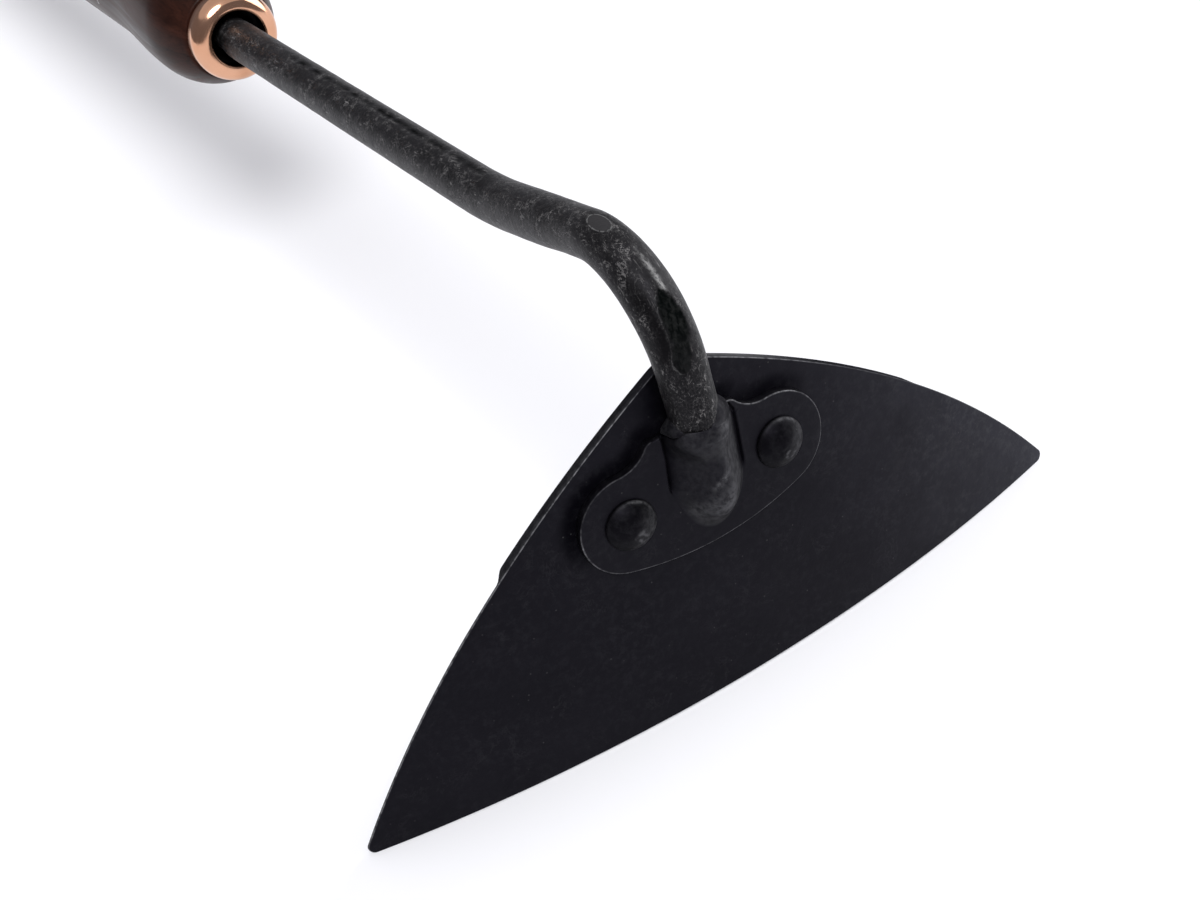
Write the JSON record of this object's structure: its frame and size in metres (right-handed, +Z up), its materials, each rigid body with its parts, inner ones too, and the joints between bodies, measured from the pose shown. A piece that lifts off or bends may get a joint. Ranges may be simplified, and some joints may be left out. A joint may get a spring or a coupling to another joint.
{
  "type": "hoe",
  "caption": "Long handled hoe: rolled triangular steel blade riveted to a pressed plate on a bent round neck, with a copper ferrule and a turned wooden handle.",
  "frame": {"origin": "middle of the bounding box at floor height, with the hoe lying on its two blade points and the butt of its handle", "axes": "+X across the blade, +Y from the blade towards the butt of the handle, +Z up from the floor"},
  "size_m": [0.172, 1.5894, 0.1019],
  "materials": {
    "black_steel": "matte black coated steel with worn edges",
    "copper": "polished copper",
    "dark_wood": "glossy dark varnish",
    "bare_steel": "plain steel"
  },
  "bodies": {
    "root": {"blade": "black_steel", "mounting_plate": "black_steel", "neck": "black_steel", "weld_beads": "black_steel", "rivet_left": "black_steel", "rivet_right": "black_steel", "ferrule": "copper", "handle": "dark_wood", "tang_pin": "bare_steel"}
  },
  "joints": []
}
